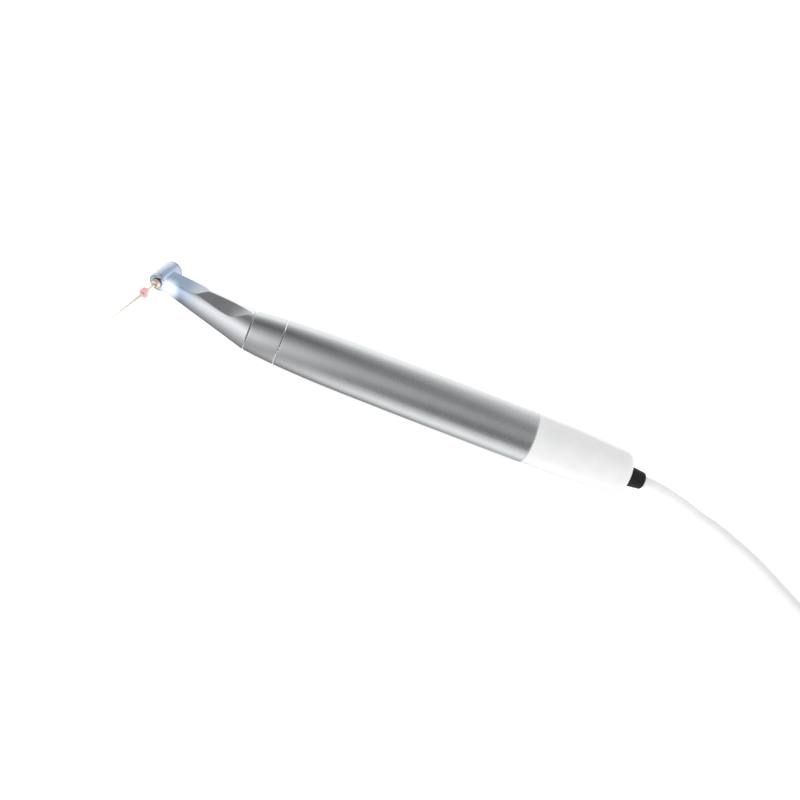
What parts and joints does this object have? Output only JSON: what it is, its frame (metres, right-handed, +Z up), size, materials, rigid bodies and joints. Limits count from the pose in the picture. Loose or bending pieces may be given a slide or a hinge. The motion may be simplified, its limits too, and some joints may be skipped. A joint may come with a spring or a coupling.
{
  "type": "endodontic motor handpiece",
  "caption": "Corded dental motor handpiece with a bent contra-angle head, push-button chuck, rotary file, light guide, strain relief, coiled cord and round plug.",
  "frame": {"origin": "bottom centre of the handpiece's box (cord, coil and plug left out), on the table that it lies on", "axes": "+X runs back along the barrel to the cord, +Y is the side that the head's push button faces, +Z is up"},
  "size_m": [0.3644, 0.0812, 0.0237],
  "materials": {
    "satin_silver": "satin anodised silver, fine grain",
    "bright_silver": "polished steel, light blue reflections",
    "white_gloss": "glossy white moulding",
    "black_rubber": "matt black elastomer",
    "cord_grey": "smooth light grey flexible jacket",
    "steel": "turned and ground steel",
    "brass": "machined brass",
    "copper": "enamelled copper winding",
    "magnet": "nickel-coated magnet and dark can",
    "grey_plastic": "glass-filled grey polymer",
    "board_green": "printed circuit board with green mask",
    "chip_black": "moulded chip package",
    "clear_glass": "polished light guide",
    "lamp": "white lamp, lit",
    "file_gold": "gold-toned heat-treated alloy with a red ring",
    "stopper_red": "soft pink-red silicone"
  },
  "bodies": {
    "motor_handpiece": {"barrel_shell": "satin_silver", "rear_cover": "white_gloss", "strain_relief": "black_rubber", "cable_clamp": "steel", "rear_seal_ring": "black_rubber", "motor_nose": "steel", "index_pin": "steel", "lamp_module": "lamp", "nose_seal_1": "black_rubber", "nose_seal_2": "black_rubber", "output_bearing": "steel", "ring_gear": "steel", "motor_can": "magnet", "motor_end_cap": "grey_plastic", "motor_bearing_front": "steel", "motor_bearing_rear": "steel", "stator_winding": "copper", "driver_board": "board_green", "board_socket": "grey_plastic", "driver_chip_1": "chip_black", "driver_chip_2": "chip_black", "cord": "cord_grey", "cord_coil": "cord_grey", "coil_tie": "black_rubber", "cord_tail": "cord_grey", "plug_strain_relief": "black_rubber", "plug_body": "black_rubber", "plug_shell": "steel", "plug_contacts": "brass"},
    "rotor": {"rotor_shaft": "steel", "rotor_magnet": "magnet", "sun_gear": "brass"},
    "carrier": {"planet_carrier": "steel"},
    "planet_1": {"planet_gear_1": "steel"},
    "planet_2": {"planet_gear_2": "steel"},
    "planet_3": {"planet_gear_3": "steel"},
    "contra_angle": {"collar": "satin_silver", "neck_housing": "satin_silver", "head_housing": "bright_silver", "back_cap": "bright_silver", "light_guide": "clear_glass", "light_lens": "clear_glass", "rear_shaft_bearing": "steel", "neck_bearing_rear": "steel", "neck_bearing_front": "steel", "head_bearing_lower": "steel", "head_bearing_upper": "steel", "button_spring": "steel"},
    "coupling_shaft": {"rear_shaft": "steel"},
    "neck_drive": {"neck_shaft": "steel", "bevel_pinion": "brass"},
    "chuck": {"chuck_sleeve": "steel", "head_gear": "brass", "latch_plate": "steel"},
    "file": {"file_shank": "steel", "file_handle": "file_gold", "file_blade": "file_gold"},
    "stopper": {"depth_stopper": "stopper_red"},
    "button": {"push_button": "bright_silver"}
  },
  "joints": [
    {"name": "rotor_spin", "type": "hinge", "parent": "motor_handpiece", "child": "rotor", "pos_m": [-0.02971, 0.0012, 0.0104], "axis": [1, 0, 0], "continuous": true},
    {"name": "carrier_spin", "type": "hinge", "parent": "motor_handpiece", "child": "carrier", "pos_m": [-0.04071, 0.0012, 0.0104], "axis": [1, 0, 0], "continuous": true},
    {"name": "planet_1_spin", "type": "hinge", "parent": "carrier", "child": "planet_1", "pos_m": [-0.03771, -0.003, 0.0104], "axis": [1, 0, 0], "continuous": true},
    {"name": "planet_2_spin", "type": "hinge", "parent": "carrier", "child": "planet_2", "pos_m": [-0.03771, 0.0033, 0.00676], "axis": [1, 0, 0], "continuous": true},
    {"name": "planet_3_spin", "type": "hinge", "parent": "carrier", "child": "planet_3", "pos_m": [-0.03771, 0.0033, 0.01404], "axis": [1, 0, 0], "continuous": true},
    {"name": "contra_angle_slide", "type": "slide", "parent": "motor_handpiece", "child": "contra_angle", "axis": [-1, 0, 0], "range_m": [0, 0.014]},
    {"name": "coupling_spin", "type": "hinge", "parent": "contra_angle", "child": "coupling_shaft", "pos_m": [-0.05811, 0.0012, 0.0104], "axis": [1, 0, 0], "continuous": true},
    {"name": "neck_drive_spin", "type": "hinge", "parent": "contra_angle", "child": "neck_drive", "pos_m": [-0.06211, 0.0012, 0.0104], "axis": [0.9593, -0.2823, 0], "continuous": true},
    {"name": "chuck_spin", "type": "hinge", "parent": "contra_angle", "child": "chuck", "pos_m": [-0.09684, 0.01142, 0.0104], "axis": [0.2823, 0.9593, 0], "continuous": true},
    {"name": "file_slide", "type": "slide", "parent": "chuck", "child": "file", "axis": [-0.2823, -0.9593, 0], "range_m": [0, 0.016]},
    {"name": "stopper_slide", "type": "slide", "parent": "file", "child": "stopper", "axis": [-0.2823, -0.9593, 0], "range_m": [-0.0045, 0.018]},
    {"name": "button_press", "type": "slide", "parent": "contra_angle", "child": "button", "axis": [-0.2823, -0.9593, 0], "range_m": [0, 0.0007], "stiffness_N_per_m": 3000, "springref_m": -0.001, "deforming": ["button_spring"]}
  ],
  "couplings": [
    {"joint": "carrier_spin", "follows": "rotor_spin", "ratio": 0.25},
    {"joint": "planet_1_spin", "follows": "rotor_spin", "ratio": -0.75},
    {"joint": "planet_2_spin", "follows": "rotor_spin", "ratio": -0.75},
    {"joint": "planet_3_spin", "follows": "rotor_spin", "ratio": -0.75},
    {"joint": "coupling_spin", "follows": "rotor_spin", "ratio": 0.25},
    {"joint": "neck_drive_spin", "follows": "rotor_spin", "ratio": 0.25},
    {"joint": "chuck_spin", "follows": "rotor_spin", "ratio": -0.125}
  ]
}
